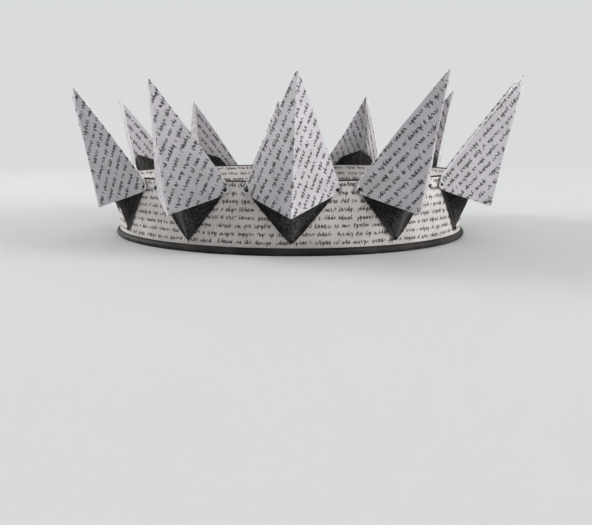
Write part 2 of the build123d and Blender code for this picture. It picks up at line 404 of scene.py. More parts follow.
def write_pen_rows(tree, along, up, page, pitch):
    """How much ink is at a place, from 0 to 1."""
    row, row_dice, x, height = place_in_row(tree, along, up, page, pitch)
    to_wave, where, turn = letter_wave(tree, x, height, row, page)
    to_stroke, sideways, cell_dice = long_stroke(tree, x, height, row, page)
    to_loop = small_loop(tree, height, sideways, cell_dice[2])
    lightest = PEN_HALF_WIDTH - PRESSURE_SPREAD / 2
    pressure = calc(tree, "MULTIPLY_ADD", noise(tree, where, 2.6, 0.0), PRESSURE_SPREAD, lightest)
    falling = ramp(tree, calc(tree, "COSINE", turn), -0.6, 0.6, DOWN_STROKE, UP_STROKE)
    pressure = calc(tree, "MULTIPLY", pressure, falling)
    nearest = calc(tree, "SMOOTH_MIN", calc(tree, "MINIMUM", to_wave, to_loop), to_stroke, 0.05)
    stroke = ramp(tree, calc(tree, "SUBTRACT", nearest, pressure), 0.0, PEN_SOFT_EDGE, 1.0, 0.0)
    return calc(tree, "MULTIPLY", stroke, calc(tree, "SUBTRACT", 1.0, word_gap(tree, x, row_dice)))


pen_rows = bpy.data.node_groups.new("pen_rows", "ShaderNodeTree")
for name in ("Along", "Up", "Page", "Pitch"):
    pen_rows.interface.new_socket(name, in_out="INPUT", socket_type="NodeSocketFloat")
pen_rows.interface.new_socket("Ink", in_out="OUTPUT", socket_type="NodeSocketFloat")
page_place = add_node(pen_rows, "NodeGroupInput").outputs
ink = write_pen_rows(pen_rows, *(page_place[name] for name in ("Along", "Up", "Page", "Pitch")))
add_node(pen_rows, "NodeGroupOutput", {"Ink": ink})
print("pen rows:", len(pen_rows.nodes), "nodes")

# %% [markdown]
# ## Written paper
# The paper is a cool white, a little mottled, with a dull surface and a fine tooth. Ink sinks in, so
# it changes the colour and hardly the shine. Each piece could have a finish of its own, but one
# function for all of them keeps the paper the same, and only the place on the page differs. Noise
# is told how many of its cells go into a millimetre: few for clouds, many for fibres.

# %% Colours and the finish of written paper
PAPER_WHITE = (0.615, 0.585, 0.612, 1)
PAPER_GREY = (0.540, 0.512, 0.532, 1)
BAND_WHITE = (0.640, 0.600, 0.575, 1)
BAND_GREY = (0.545, 0.508, 0.482, 1)
# The cut-edge colour is a painted highlight, laid on the sheets' cut edges, along their creases and on
# the rims of the wraps.
CUT_EDGE_HIGHLIGHT = (0.830, 0.810, 0.815, 1)
INK = (0.034, 0.031, 0.031, 1)
WAVES_PER_MM = 0.055
CLOUDS_PER_MM = 0.11
FIBRES_PER_MM = 2.6
WAVE_HEIGHT = 1.3
CLOUD_HEIGHT = 0.3
FIBRE_HEIGHT = 0.03
INK_DEPTH = 0.01


def start_material(name):
    """An empty material, its tree, its shader and the place in millimetres."""
    material = bpy.data.materials.new(name)
    material.use_nodes = True
    tree = material.node_tree
    place = add_node(tree, "ShaderNodeTexCoord").outputs
    millimetres = vector_calc(tree, "MULTIPLY", place["Object"], (1000.0, 1000.0, 1000.0))
    return material, tree, tree.nodes["Principled BSDF"], place, millimetres


def finish_paper(tree, shader, place, ink, white, grey, edge, height=0.0):
    """Mottled paper with ink on it. Edge is 1 where the sheet was cut, and there a painted highlight
    replaces the paper; height is in millimetres.
    """
    clouds = noise(tree, place, CLOUDS_PER_MM, 3.0)
    fibres = noise(tree, place, FIBRES_PER_MM, 3.0, 0.65)
    waves = noise(tree, place, WAVES_PER_MM, 1.0)
    mottle = ramp(tree, calc(tree, "MULTIPLY_ADD", fibres, 0.5, clouds), 0.55, 0.95, 0.0, 1.0)
    paper = blend_colours(tree, mottle, white, grey)
    paper = blend_colours(tree, edge, paper, CUT_EDGE_HIGHLIGHT)
    written = calc(tree, "MULTIPLY", ink, calc(tree, "SUBTRACT", 1.0, edge))
    faded = ramp(tree, fibres, 0.2, 0.7, 1.0, 0.84)
    colour = blend_colours(tree, calc(tree, "MULTIPLY", written, faded), paper, INK)
    wire(tree, shader.inputs["Base Color"], colour)
    wire(tree, shader.inputs["Roughness"], ramp(tree, fibres, 0.3, 0.7, 0.62, 0.8))
    shader.inputs["Specular IOR Level"].default_value = 0.35
    tooth = calc(tree, "MULTIPLY_ADD", fibres, FIBRE_HEIGHT, calc(tree, "MULTIPLY", clouds, CLOUD_HEIGHT))
    tooth = calc(tree, "MULTIPLY_ADD", waves, WAVE_HEIGHT, tooth)
    dented = calc(tree, "ADD", calc(tree, "MULTIPLY_ADD", written, -INK_DEPTH, tooth), height)
    bump = add_node(tree, "ShaderNodeBump", {"Height": dented})
    bump.inputs["Distance"].default_value = MM
    bump.inputs["Strength"].default_value = 0.7
    wire(tree, shader.inputs["Normal"], bump.outputs[0])


print("paper white", PAPER_WHITE[:3], "ink", INK[:3])

# %% [markdown]
# ## The points' paper
# Each sheet was written on while it was flat, and then folded. So the place on the page is found by
# unfolding: the sheet is first turned round to the front, and then a place is measured along the
# crease and away from it. The distance from the crease is the same flat or folded, so the rows run
# on over the fold as they do on the real sheets. An unwrapped UV map would do it too, but it would
# have to be made again for each of the twelve sheets.
#
# The places below are in millimetres, on the front sheet, and the tab's turn is how far round the
# band the tab lies from the crease.

# %% Where the crease lies, and how the sheet's half faces
POINTS = 12
CREASE_FOOT = Vector((0, -107.0, 17.77))
CREASE_TIP = Vector((0, -120.2, 77.17))
PIN_CORNER = Vector((17.44, -92.06, 27.97))
TAB_TURN = radians(11.95)

crease = (CREASE_TIP - CREASE_FOOT).normalized()
half_normal = (PIN_CORNER - CREASE_FOOT).cross(crease).normalized()
tab_normal = Vector((sin(TAB_TURN), -cos(TAB_TURN), 0))
print("crease", [round(v, 3) for v in crease], "half faces", [round(v, 3) for v in half_normal])


# %% Unfold a sheet in nodes
def turned_to_front(tree, place, vectors):
    """The number of the sheet from the front, and some vectors turned back by it."""
    x, y, _ = split_xyz(tree, place)
    round_the_band = calc(tree, "ARCTAN2", x, calc(tree, "MULTIPLY", y, -1.0))
    number = calc(tree, "ROUND", calc(tree, "DIVIDE", round_the_band, 2 * pi / POINTS))
    back = calc(tree, "MULTIPLY", number, -2 * pi / POINTS)
    turned = []
    for vector in vectors:
        inputs = {"Vector": vector, "Angle": back}
        turn_back = add_node(tree, "ShaderNodeVectorRotate", inputs, rotation_type="Z_AXIS")
        turned.append(turn_back.outputs[0])
    return number, turned


def unfold(tree, front_place):
    """Away from the crease, to +X, and up along it, in millimetres."""
    arm = vector_calc(tree, "SUBTRACT", front_place, tuple(CREASE_FOOT))
    up = vector_calc(tree, "DOT_PRODUCT", arm, tuple(crease), out=1)
    length = vector_calc(tree, "LENGTH", arm, out=1)
    length_squared = calc(tree, "MULTIPLY", length, length)
    away_squared = calc(tree, "SUBTRACT", length_squared, calc(tree, "MULTIPLY", up, up))
    away = calc(tree, "SQRT", calc(tree, "MAXIMUM", away_squared, 0.0))
    side = calc(tree, "SIGN", split_xyz(tree, arm)[0])
    return calc(tree, "MULTIPLY", away, side), up


print("sheets unfolded from", POINTS, "places round the band")

# %% [markdown]
# Where a sheet was cut, its thin edge is painted paler, a painted highlight as if the edge caught the
# light. The edges could be faces with a material of their own, but a look at which way the surface
# faces tells them apart as well: it is an edge where it faces neither as a half of the sheet nor as a
# tab. Along the crease the rounded fold faces other ways too, so a narrow strip there is left out and
# only gets a little of the painted highlight.

# %% Find the cut edges
FACE_FROM = 0.74
FACE_FULLY = 0.86
CREASE_HALF_WIDTH = 0.5


def cut_edge(tree, front_normal, front_place, across):
    """1 on the sheet's thin cut edges, 0 on the faces of its halves and tabs and on the crease."""
    side = calc(tree, "SIGN", split_xyz(tree, front_place)[0])
    facing = vector_calc(tree, "MULTIPLY", front_normal, join_xyz(tree, side, 1.0, 1.0))
    on_half = vector_calc(tree, "DOT_PRODUCT", facing, tuple(half_normal), out=1)
    on_tab = vector_calc(tree, "DOT_PRODUCT", facing, tuple(tab_normal), out=1)
    on_face = calc(tree, "MAXIMUM", calc(tree, "ABSOLUTE", on_half), calc(tree, "ABSOLUTE", on_tab))
    on_neither = ramp(tree, on_face, FACE_FROM, FACE_FULLY, 1.0, 0.0)
    off_crease = ramp(tree, calc(tree, "ABSOLUTE", across), CREASE_HALF_WIDTH, 0.8, 0.0, 1.0)
    return calc(tree, "MULTIPLY", on_neither, off_crease)


print("cut edges from", round(CREASE_HALF_WIDTH, 2), "mm off the crease")

# %% [markdown]
# On every sheet the rows run up steeply, and each sheet is turned a little differently under the
# same hand, so the tilt and the place of the first row are thrown for each of them.

# %% Paper for the points
ROW_TILT = radians(60)
TILT_SPREAD = radians(8)
POINT_ROW_PITCH = 4.0
# The crease's share of the painted highlight:
CREASE_HIGHLIGHT = 0.35

point_paper, tree, shader, place, millimetres = start_material("point_paper")
number, (front_place, front_normal) = turned_to_front(tree, millimetres, [millimetres, place["Normal"]])
across, up_crease = unfold(tree, front_place)
edge = cut_edge(tree, front_normal, front_place, across)
page_dice = dice(tree, number, 3.0, 1.0)
tilt = calc(tree, "MULTIPLY_ADD", page_dice[0], TILT_SPREAD, ROW_TILT - TILT_SPREAD / 2)
tilt_cos = calc(tree, "COSINE", tilt)
tilt_sin = calc(tree, "SINE", tilt)
along = calc(tree, "MULTIPLY_ADD", up_crease, tilt_sin, calc(tree, "MULTIPLY", across, tilt_cos))
up_part = calc(tree, "MULTIPLY", up_crease, tilt_cos)
rise = calc(tree, "SUBTRACT", up_part, calc(tree, "MULTIPLY", across, tilt_sin))
rise = calc(tree, "MULTIPLY_ADD", page_dice[1], POINT_ROW_PITCH, rise)
rows = add_node(tree, "ShaderNodeGroup", node_tree=pen_rows)
for name, value in (("Along", along), ("Up", rise), ("Page", number), ("Pitch", POINT_ROW_PITCH)):
    wire(tree, rows.inputs[name], value)
# A painted highlight along the crease, strongest on its middle line.
crease_highlight = ramp(tree, calc(tree, "ABSOLUTE", across), 0.15, CREASE_HALF_WIDTH, CREASE_HIGHLIGHT, 0.0)
edge_or_crease_highlight = calc(tree, "MAXIMUM", edge, crease_highlight)
finish_paper(tree, shader, millimetres, rows.outputs[0], PAPER_WHITE, PAPER_GREY, edge_or_crease_highlight)
print("point paper:", len(tree.nodes), "nodes")

# %% [markdown]
# ## The folded sheets
# A sheet is folded by hand, and no two come out alike. Where the pins pull its corners back to the
# band, a half often takes a second, softer fold, and the tips lean a little. The solids are twelve
# equal sheets, so each is remade. The sheet could be drawn point by point, but it is easier to cut:
# a plane is bisected along the edges and folds as they are seen from the front, and its few corners
# are then pulled out to their depth. Every copy gets its own small pulls, and then its thickness.


# %% A helper that selects by place
def select_in(piece, kind, test):
    """In edit mode, selects the points or faces for which a test is true, and nothing else."""
    bpy.ops.mesh.select_mode(type=kind)
    bpy.ops.mesh.select_all(action="DESELECT")
    bpy.ops.object.mode_set(mode="OBJECT")
    parts = piece.data.vertices if kind == "VERT" else piece.data.polygons
    for part in parts:
        part.select = test(part)
    bpy.ops.object.mode_set(mode="EDIT")


print("helper ready: select_in")

# %% [markdown]
# Seen from the front, the sheet is a kite with a blunt tip. The places are given across and up, in
# millimetres, for its right half, and the left half mirrors them. The pull fold is the second, softer
# fold of a half. The tab fold is where the sheet turns back to lie flat against the band.

# %% Cut one sheet flat, as it is seen from the front
BLANK_SIZE = 0.3
SHEET_TIP = (0.65, 77.17)
SHEET_CORNER = (21.65, 27.87)
SHEET_FOOT = (0.0, 17.77)
PULL_FOLD = ((14.51, 24.54), (10.67, 53.47))
TAB_FOLD = ((17.89, 26.11), (19.70, 32.42))
CORNER_ROUNDING = 1.0
SAME_PLACE = 0.05


def mirrored(place):
    """The same place on the other half."""
    return (-place[0], place[1])


def cut_along(start, end, clear):
    """Bisects the sheet along a line, and clears what lies to the left of it on request."""
    bpy.ops.mesh.select_all(action="SELECT")
    across_line = Vector((start[1] - end[1], 0, end[0] - start[0])).normalized()
    on_line = (start[0] * MM, 0, start[1] * MM)
    bpy.ops.mesh.bisect(plane_co=on_line, plane_no=across_line, clear_outer=clear)


def is_at(point, places):
    """Whether a point of the sheet lies at one of some places, seen from the front."""
    across = point.co.x / MM
    up = point.co.z / MM
    return any(abs(across - x) < SAME_PLACE and abs(up - z) < SAME_PLACE for x, z in places)


flat_sheet = start_mesh(
    bpy.ops.mesh.primitive_plane_add,
    size=BLANK_SIZE,
    rotation=(radians(90), 0, 0),
)
outline = [SHEET_TIP, SHEET_CORNER, SHEET_FOOT, mirrored(SHEET_CORNER), mirrored(SHEET_TIP)]
for start, end in zip(outline, outline[1:] + outline[:1]):
    cut_along(start, end, True)
select_in(flat_sheet, "VERT", lambda point: is_at(point, (SHEET_CORNER, mirrored(SHEET_CORNER))))
bpy.ops.mesh.bevel(offset=CORNER_ROUNDING * MM, segments=4, affect="VERTICES")
cut_along(SHEET_FOOT, (0.0, SHEET_TIP[1]), False)
for start, end in (PULL_FOLD, TAB_FOLD):
    cut_along(start, end, False)
    cut_along(mirrored(start), mirrored(end), False)
bpy.ops.object.mode_set(mode="OBJECT")
print("flat sheet:", len(flat_sheet.data.vertices), "points")

# %% [markdown]
# From the front the sheet is right now, but it is still flat. On the crown its halves slope back from
# the crease, and its tabs lie against the band. The corners could be moved by eye, but each half and
# each tab is a plane, so the depth of every corner is worked out from the nearer of the two.

# %% Pull its corners out to their depth
TAB_DISTANCE = 93.68


def skin_depth(x, z):
    """Where the outer face lies: on the folded half, or on the tab that is flat against the band."""
    half = CREASE_FOOT.y - (half_normal.x * abs(x) + half_normal.z * (z - CREASE_FOOT.z)) / half_normal.y
    tab = (sin(TAB_TURN) * abs(x) - TAB_DISTANCE) / cos(TAB_TURN)
    return min(half, tab)


corners = [(v.index, skin_depth(v.co.x / MM, v.co.z / MM) * MM) for v in flat_sheet.data.vertices]
bpy.ops.object.mode_set(mode="EDIT")
for index, depth in corners:
    select_in(flat_sheet, "VERT", lambda point: point.index == index)
    bpy.ops.transform.translate(value=(0, depth, 0))
bpy.ops.mesh.select_all(action="SELECT")
bpy.ops.mesh.quads_convert_to_tris(quad_method="BEAUTY", ngon_method="BEAUTY")
end_mesh(flat_sheet, "flat_sheet")
print("depths in mm:", sorted({round(depth / MM, 1) for _, depth in corners}))

# %% [markdown]
# The small pulls were read off the photograph for the sheets that it shows well, and the other
# sheets get pulls of the same size. There is one row for each sheet, from the front one round to the
# right. The six numbers are millimetres: how far the tip leans sideways and up, how far the foot of
# the crease moves sideways and out, and how much the left and the right half bulge at their second
# folds. A fold in paper is never sharp, so the crease and the second folds are rounded with a bevel.

# %% The pulls of the twelve sheets
FOLD_ROUNDING = 0.35
ON_SKIN = 0.02
HAND_FOLDS = (
    (0.2, -1.2, -0.9, 0.0, 2.8, 0.1),
    (1.0, -0.5, 0.2, 0.3, 0.3, 0.8),
    (1.2, 0.0, 0.0, 2.1, 0.2, 0.6),
    (0.0, 0.6, 0.4, 0.3, 0.9, 0.2),
    (-0.8, 0.6, 1.0, 0.0, 3.2, 1.2),
    (2.0, 0.3, 0.5, -0.2, 0.2, 0.4),
    (1.5, -0.2, -0.5, 0.4, 1.3, 0.3),
    (0.9, -0.4, 0.3, 0.0, 0.4, 0.7),
    (1.6, -0.2, -0.4, 0.2, 0.6, 0.2),
    (0.0, -0.8, 0.2, -0.3, 0.2, 1.0),
    (1.8, -1.1, -1.2, 1.4, 0.9, 0.3),
    (0.2, -1.4, -1.2, 0.5, 1.8, 0.2),
)


def pull(piece, places, x, out, up):
    """Moves the points at some places, in millimetres."""
    select_in(piece, "VERT", lambda point: is_at(point, places))
    bpy.ops.transform.translate(value=(x * MM, -out * MM, up * MM))


def soften(piece, ends, skin):
    """Rounds the fold between two places on the outer face, which is told by its old points."""
    def on_skin(point):
        return any((point.co - place).length < ON_SKIN * MM for place in skin)

    select_in(piece, "VERT", lambda point: is_at(point, ends) and on_skin(point))
    bpy.ops.mesh.bevel(offset=FOLD_ROUNDING * MM, segments=3, affect="EDGES")


print("largest pull:", max(max(abs(part) for part in folds) for folds in HAND_FOLDS), "mm")

# %% [markdown]
# Solidify gives the pulled skin its thickness inward, so that the outer face stays where it was. The
# cut edges get a narrow bevel, because even a sharp blade leaves no knife edge on thick paper.

# %% Fold the twelve sheets
SHEET_THICKNESS = 0.6
EDGE_ROUNDING = 0.16
UPPER_BULGE = 0.25
LEFT_PULL_FOLD = tuple(mirrored(place) for place in PULL_FOLD)


def folded_sheet(number, tip_side, tip_up, foot_side, foot_out, left_bulge, right_bulge):
    """One sheet with its own small pulls, turned to its place on the band."""
    sheet = flat_sheet.copy()
    sheet.data = flat_sheet.data.copy()
    sheet.name = sheet.data.name = f"folded_sheet_{number:02d}"
    bpy.context.scene.collection.objects.link(sheet)
    bpy.ops.object.select_all(action="DESELECT")
    sheet.select_set(True)
    bpy.context.view_layer.objects.active = sheet
    bpy.ops.object.mode_set(mode="EDIT")
    pull(sheet, (SHEET_TIP, (0.0, SHEET_TIP[1]), mirrored(SHEET_TIP)), tip_side, 0.0, tip_up)
    pull(sheet, (SHEET_FOOT,), foot_side, foot_out, 0.0)
    for bulge, (low, high) in ((right_bulge, PULL_FOLD), (left_bulge, LEFT_PULL_FOLD)):
        pull(sheet, (low,), 0.0, bulge, 0.0)
        pull(sheet, (high,), 0.0, bulge * UPPER_BULGE, 0.0)
    bpy.ops.object.mode_set(mode="OBJECT")
    skin = [point.co.copy() for point in sheet.data.vertices]
    wall = sheet.modifiers.new("wall", "SOLIDIFY")
    wall.thickness = SHEET_THICKNESS * MM
    wall.offset = -1
    wall.use_even_offset = True
    wall.use_quality_normals = True
    bpy.ops.object.modifier_apply(modifier="wall")
    bpy.ops.object.mode_set(mode="EDIT")
    crease_ends = ((foot_side, SHEET_FOOT[1]), (tip_side, SHEET_TIP[1] + tip_up))
    for ends in (crease_ends, PULL_FOLD, LEFT_PULL_FOLD):
        soften(sheet, ends, skin)
    bpy.ops.object.mode_set(mode="OBJECT")
    soft = sheet.modifiers.new("soft_edges", "BEVEL")
    soft.width = EDGE_ROUNDING * MM
    soft.limit_method = "ANGLE"
    soft.angle_limit = radians(50)
    bpy.ops.object.modifier_apply(modifier="soft_edges")
    bpy.ops.object.shade_smooth_by_angle(angle=radians(12))
    sheet.data.transform(Matrix.Rotation((number - 1) * 2 * pi / POINTS, 4, "Z"))
    sheet.data.materials.append(point_paper)
    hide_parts(f"point_{number:02d}")
    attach(sheet, "root")
    return sheet


sheets = [folded_sheet(number, *folds) for number, folds in enumerate(HAND_FOLDS, 1)]
bpy.data.objects.remove(flat_sheet)
print(len(sheets), "sheets of", len(sheets[0].data.polygons), "faces")

# %% [markdown]
# ## The dark sheets
# The gussets are black card with a felted face: it drinks light, shows a fine pale speckle, and is
# rubbed paler in patches. Along its ridge it is also painted a little paler, a painted highlight. The
# core of the band is the same card, painted paler in the same way in front of each point. The felt
# could be real hairs, but at this size they would only be seen as a dull grain, so noise and a little
# sheen stand for them.


# %% Dark card
GRAIN_PER_MM = 1.1
RUBBING_PER_MM = 0.16
# How far the painted highlight reaches from the ridge, in millimetres:
RIDGE_HIGHLIGHT_WIDTH = 7.0
FELT_HEIGHT = 0.12 * MM
GUSSET_BLACK = (0.010, 0.009, 0.008, 1)
GUSSET_SPECKLE = (0.090, 0.083, 0.077, 1)
CORE_BLACK = (0.016, 0.015, 0.015, 1)
CORE_SPECKLE = (0.055, 0.052, 0.050, 1)


def dark_card(name, base, speckle):
    """Felted card with a painted highlight along each ridge. Base and speckle are its two colours."""
    material, tree, shader, _, millimetres = start_material(name)
    _, (front_place,) = turned_to_front(tree, millimetres, [millimetres])
    from_ridge = calc(tree, "ABSOLUTE", split_xyz(tree, front_place)[0])
    grain = noise(tree, millimetres, GRAIN_PER_MM, 2.0, 0.6)
    # A painted highlight along the ridge. Rubbed below is the rubbing noise with this painted highlight
    # added.
    ridge_highlight = ramp(tree, from_ridge, 0.0, RIDGE_HIGHLIGHT_WIDTH, 0.45, 0.0)
    rubbed = calc(tree, "ADD", noise(tree, millimetres, RUBBING_PER_MM, 2.0), ridge_highlight)
    share = ramp(tree, calc(tree, "MULTIPLY_ADD", rubbed, 0.4, grain), 0.62, 1.12, 0.0, 1.0)
    wire(tree, shader.inputs["Base Color"], blend_colours(tree, share, base, speckle))
    wire(tree, shader.inputs["Roughness"], ramp(tree, grain, 0.3, 0.7, 0.85, 1.0))
    shader.inputs["Specular IOR Level"].default_value = 0.12
    shader.inputs["Sheen Weight"].default_value = 0.08
    shader.inputs["Sheen Roughness"].default_value = 0.6
    bump = add_node(tree, "ShaderNodeBump", {"Height": grain})
    bump.inputs["Distance"].default_value = FELT_HEIGHT
    bump.inputs["Strength"].default_value = 0.8
    wire(tree, shader.inputs["Normal"], bump.outputs[0])
    return material


gusset_card = dark_card("gusset_card", GUSSET_BLACK, GUSSET_SPECKLE)
core_card = dark_card("core_card", CORE_BLACK, CORE_SPECKLE)
for name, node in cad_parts.items():
    if name.startswith("gusset_"):
        for holder in node.material_slots:
            holder.material = gusset_card
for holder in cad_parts["band_core"].material_slots:
    holder.material = core_card
print("dark card on", sum(name.startswith("gusset_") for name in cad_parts) + 1, "solids")

# %% [markdown]
# ## The two wraps of paper
# Outside and inside, the band is covered with a strip of the same writing, glued round it with level
# rows. The solid for it is a ring of flat facets. A ring of 256 sides looks round, so each wrap is
# remade as an open cylinder that Solidify gives its thickness, with its rims softened.


# %% Make a wrap
def make_wrap(name, node, outside, thickness):
    """A thin paper wall in the place of a CAD ring, made from its outside inward."""
    low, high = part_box(node)
    depth = high.z - low.z
    wrap = start_mesh(
        bpy.ops.mesh.primitive_cylinder_add,
        vertices=256,
        radius=outside,
        depth=depth,
        end_fill_type="NOTHING",
        location=(0, 0, (low.z + high.z) / 2),
    )
    end_mesh(wrap, name)
    wall = wrap.modifiers.new("wall", "SOLIDIFY")
    wall.thickness = thickness
    wall.offset = -1
    bpy.ops.object.modifier_apply(modifier="wall")
    soft = wrap.modifiers.new("soft_rim", "BEVEL")
    soft.width = thickness / 4
    soft.segments = 2
    soft.limit_method = "ANGLE"
    bpy.ops.object.modifier_apply(modifier="soft_rim")
    bpy.ops.object.shade_smooth_by_angle(angle=radians(35))
    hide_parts(node)
    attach(wrap, "root")
    print(name, "outside", round(outside / MM, 2), "mm,", len(wrap.data.polygons), "faces")
    return wrap


COVER_THICKNESS = 0.3 * MM
outer_wrap = make_wrap("outer_paper", "outer_cover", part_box("outer_cover")[1].x, COVER_THICKNESS)
inner_wrap = make_wrap("inner_paper", "inner_cover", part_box("inner_cover")[1].x, COVER_THICKNESS)

# %% [markdown]
# The rows on a wrap run round the band, so the page is the band rolled out: the angle times the
# radius goes along, and the height goes up. A UV map would do the same with a seam to look after.
# The lap where the strip's ends meet is a small step in the finish, at the back.


# %% Paper for the wraps
OUTER_RADIUS = 92.5
INNER_RADIUS = 90.5
OUTER_PAGE = 21.0
INNER_PAGE = 37.0
FIRST_ROW = 0.4
LAP = 6.0
LAP_HEIGHT = 0.3


def wrap_paper(name, radius, page, base):
    """Written paper whose rows run level round a ring."""
    material, tree, shader, place, millimetres = start_material(name)
    x, y, z = split_xyz(tree, millimetres)
    angle = calc(tree, "ARCTAN2", x, calc(tree, "MULTIPLY", y, -1.0))
    rows = add_node(tree, "ShaderNodeGroup", node_tree=pen_rows)
    wire(tree, rows.inputs["Along"], calc(tree, "MULTIPLY", angle, radius))
    wire(tree, rows.inputs["Up"], calc(tree, "SUBTRACT", z, base))
    rows.inputs["Page"].default_value = page
    rows.inputs["Pitch"].default_value = ROW_PITCH
    level = vector_calc(tree, "DOT_PRODUCT", place["Normal"], (0.0, 0.0, 1.0), out=1)
    # The wrap's top and bottom rims take the painted highlight of the cut edges.
    edge = ramp(tree, calc(tree, "ABSOLUTE", level), 0.4, 0.8, 0.0, 1.0)
    from_back = calc(tree, "MULTIPLY", calc(tree, "SUBTRACT", pi, angle), radius)
    lap_step = ramp(tree, calc(tree, "ABSOLUTE", from_back), LAP, LAP + 0.4, LAP_HEIGHT, 0.0)
    finish_paper(tree, shader, millimetres, rows.outputs[0], BAND_WHITE, BAND_GREY, edge, lap_step)
    return material


cover_low, cover_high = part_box("outer_cover")
base = cover_low.z / MM + FIRST_ROW
outer_wrap.data.materials.append(wrap_paper("outer_band_paper", OUTER_RADIUS, OUTER_PAGE, base))
inner_wrap.data.materials.append(wrap_paper("inner_band_paper", INNER_RADIUS, INNER_PAGE, base))
print("rows on the band:", round((cover_high.z - cover_low.z) / MM / ROW_PITCH, 1))

# %% [markdown]
# ## The edging
# A dark roll of soft leather closes the foot of the band. It is a round bead, pressed flat where it
# stands. A torus would be round all over, so its section is drawn first as an upright circle, its
# lowest part is pressed level, and the section is then spun once round the crown.

# %% Spin the edging
EDGING_ROLL = 1.8 * MM
EDGING_RING = 92.4 * MM
NEARLY_LEVEL = 0.02 * MM
MERGE_DISTANCE = 0.01 * MM

edging_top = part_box("lower_edging")[1].z
edging = start_mesh(
    bpy.ops.mesh.primitive_circle_add,
    vertices=28,
    radius=EDGING_ROLL,
    fill_type="NOTHING",
    location=(EDGING_RING, 0, edging_top - EDGING_ROLL),
    rotation=(radians(90), 0, 0),
)
select_in(edging, "VERT", lambda point: point.co.z < NEARLY_LEVEL)
bpy.ops.transform.resize(value=(1, 1, 0), center_override=(EDGING_RING, 0, 0))
bpy.ops.mesh.select_all(action="SELECT")
bpy.ops.mesh.spin(steps=240, angle=2 * pi, center=(0, 0, 0), axis=(0, 0, 1))
bpy.ops.mesh.select_all(action="SELECT")
bpy.ops.mesh.remove_doubles(threshold=MERGE_DISTANCE)
bpy.ops.mesh.normals_make_consistent(inside=False)
end_mesh(edging, "rolled_edging")
bpy.ops.object.shade_smooth_by_angle(angle=radians(40))
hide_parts("lower_edging")
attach(edging, "root")
lowest = min(point.co.z for point in edging.data.vertices)
print("edging:", len(edging.data.polygons), "faces, lowest", round(lowest / MM, 3), "mm")

# %% [markdown]
# The leather is black with a low sheen, and has a fine round grain and faint creases across the roll,
# where it was drawn round the curve. A picture of leather would blur close up and show its seam. A
# Voronoi pattern, whose cells crowd like pores, gives the grain at any distance, and noise that is
# stretched across the roll gives the creases.

# %% Leather for the edging
CELLS_PER_MM = 2.6
PORES_PER_MM = 3.4
CREASE_STRETCH = (0.9, 0.15, 0.0)
CELL_HEIGHT = 0.05
PORE_HEIGHT = 0.05
CREASE_HEIGHT = 0.35
LEATHER_BLACK = (0.011, 0.010, 0.009, 1)
LEATHER_RUBBED = (0.032, 0.029, 0.027, 1)

edging_leather, tree, shader, _, millimetres = start_material("edging_leather")
x, y, z = split_xyz(tree, millimetres)
angle = calc(tree, "ARCTAN2", x, calc(tree, "MULTIPLY", y, -1.0))
round_band = join_xyz(tree, calc(tree, "MULTIPLY", angle, EDGING_RING / MM), z, calc(tree, "ADD", x, y))
cell_inputs = {"Vector": millimetres, "Scale": CELLS_PER_MM}
grain_cells = add_node(tree, "ShaderNodeTexVoronoi", cell_inputs, feature="F1")
pores = noise(tree, millimetres, PORES_PER_MM, 4.0, 0.6)
pulls = noise(tree, vector_calc(tree, "MULTIPLY", round_band, CREASE_STRETCH), 1.0, 2.0)
rubbed = ramp(tree, noise(tree, millimetres, 0.07, 3.0), 0.4, 0.7, 0.0, 1.0)
wire(tree, shader.inputs["Base Color"], blend_colours(tree, rubbed, LEATHER_BLACK, LEATHER_RUBBED))
wire(tree, shader.inputs["Roughness"], ramp(tree, pores, 0.3, 0.7, 0.55, 0.75))
shader.inputs["Specular IOR Level"].default_value = 0.22
leather_height = calc(tree, "MULTIPLY", pores, PORE_HEIGHT)
leather_height = calc(tree, "MULTIPLY_ADD", grain_cells.outputs[0], CELL_HEIGHT, leather_height)
leather_height = calc(tree, "MULTIPLY_ADD", pulls, CREASE_HEIGHT, leather_height)
bump = add_node(tree, "ShaderNodeBump", {"Height": leather_height})
bump.inputs["Distance"].default_value = MM
bump.inputs["Strength"].default_value = 0.6
wire(tree, shader.inputs["Normal"], bump.outputs[0])
edging.data.materials.append(edging_leather)
print("edging leather:", len(tree.nodes), "nodes")

# %% [markdown]
# ## The pins
# Small black pins with domed heads hold the sheets. Their solids have six sides, to keep the
# model light, and a close view would show that. So one pin is modelled round: a short cylinder for
# the head, whose top is drawn up and narrowed in steps to make the dome, and whose underside is
# inset and drawn down to make the shank. A sphere would give the dome as well, but not the rim
# under it. Then the pin is copied to all thirty-six places.

# %% Model one pin at the origin, pointing along +Z
HEAD_RADIUS = 0.75 * MM
HEAD_HEIGHT = 0.5 * MM
RIM_SHARE = 0.3
SHANK_RADIUS = 0.35 * MM
PIN_END_RADIUS = 91.28 * MM
DOME_STEPS = 4


def is_level(face, height):
    """Whether a face lies level at a height."""
    return abs(face.center.z - height) < NEARLY_LEVEL and abs(face.normal.z) > 0.9


